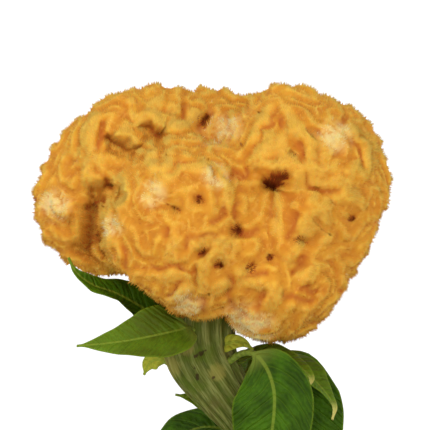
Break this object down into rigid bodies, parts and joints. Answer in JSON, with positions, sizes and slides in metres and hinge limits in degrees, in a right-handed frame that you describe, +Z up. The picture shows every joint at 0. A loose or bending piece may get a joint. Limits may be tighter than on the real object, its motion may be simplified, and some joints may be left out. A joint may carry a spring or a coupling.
{
  "type": "potted cockscomb celosia",
  "caption": "Potted cockscomb celosia: a golden, brain-folded crested flower head on a flattened ribbed stem with lance-shaped leaves, in a plain terracotta pot of soil.",
  "frame": {"origin": "centre of the pot's flat base, on the surface it stands on", "axes": "+Z up along the pot's axis; the front of the flower head faces -Y; +X to the right as seen from the front"},
  "size_m": [0.1496, 0.1308, 0.3015],
  "materials": {
    "terracotta": "matte",
    "soil": "matte",
    "stem": "matte",
    "bloom": "matte",
    "leaf": "satin"
  },
  "bodies": {
    "root": {"pot": "terracotta", "soil": "soil", "stem": "stem", "bloom": "bloom", "leaf_01": "leaf", "leaf_02": "leaf", "leaf_03": "leaf", "leaf_04": "leaf", "leaf_05": "leaf", "leaf_06": "leaf", "leaf_07": "leaf", "leaf_08": "leaf", "leaf_09": "leaf", "leaf_10": "leaf", "leaf_11": "leaf", "leaf_12": "leaf", "leaf_13": "leaf", "leaf_14": "leaf", "leaf_15": "leaf", "leaf_16": "leaf", "leaf_17": "leaf", "leaf_18": "leaf"}
  },
  "joints": []
}
